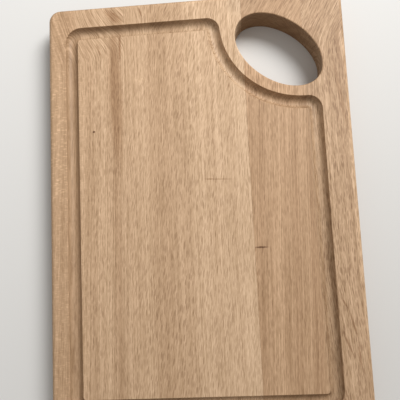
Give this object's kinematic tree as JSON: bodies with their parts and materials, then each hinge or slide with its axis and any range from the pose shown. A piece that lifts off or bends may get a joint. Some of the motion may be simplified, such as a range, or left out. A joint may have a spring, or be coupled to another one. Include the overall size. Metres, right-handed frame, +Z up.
{
  "type": "wooden chopping board",
  "caption": "Rectangular edge-glued beech chopping board with a juice groove round the cutting face and an oval hand hole through one corner.",
  "frame": {"origin": "middle of the underside, on the surface that the board lies on", "axes": "+X across the staves towards the long edge beside the hand hole, +Y along the grain towards the end with the hand hole, +Z up out of the cutting face"},
  "size_m": [0.25, 0.35, 0.025],
  "materials": {
    "beech_left_edge": "sanded and lightly oiled, satin",
    "beech_left_middle": "sanded and lightly oiled, satin",
    "beech_right_middle": "sanded and lightly oiled, satin",
    "beech_hand_hole": "sanded and lightly oiled, satin",
    "beech_right_edge": "sanded and lightly oiled, satin",
    "wood_glue": "cured glue, sanded flush"
  },
  "bodies": {
    "root": {"left_edge_stave": "beech_left_edge", "left_middle_stave": "beech_left_middle", "right_middle_stave": "beech_right_middle", "hand_hole_stave": "beech_hand_hole", "hand_hole_stave_above_hole": "beech_hand_hole", "right_edge_stave": "beech_right_edge", "left_glue_line": "wood_glue", "middle_glue_line": "wood_glue", "right_glue_line": "wood_glue", "edge_glue_line": "wood_glue", "right_glue_line_above_hole": "wood_glue", "edge_glue_line_above_hole": "wood_glue"}
  },
  "joints": []
}
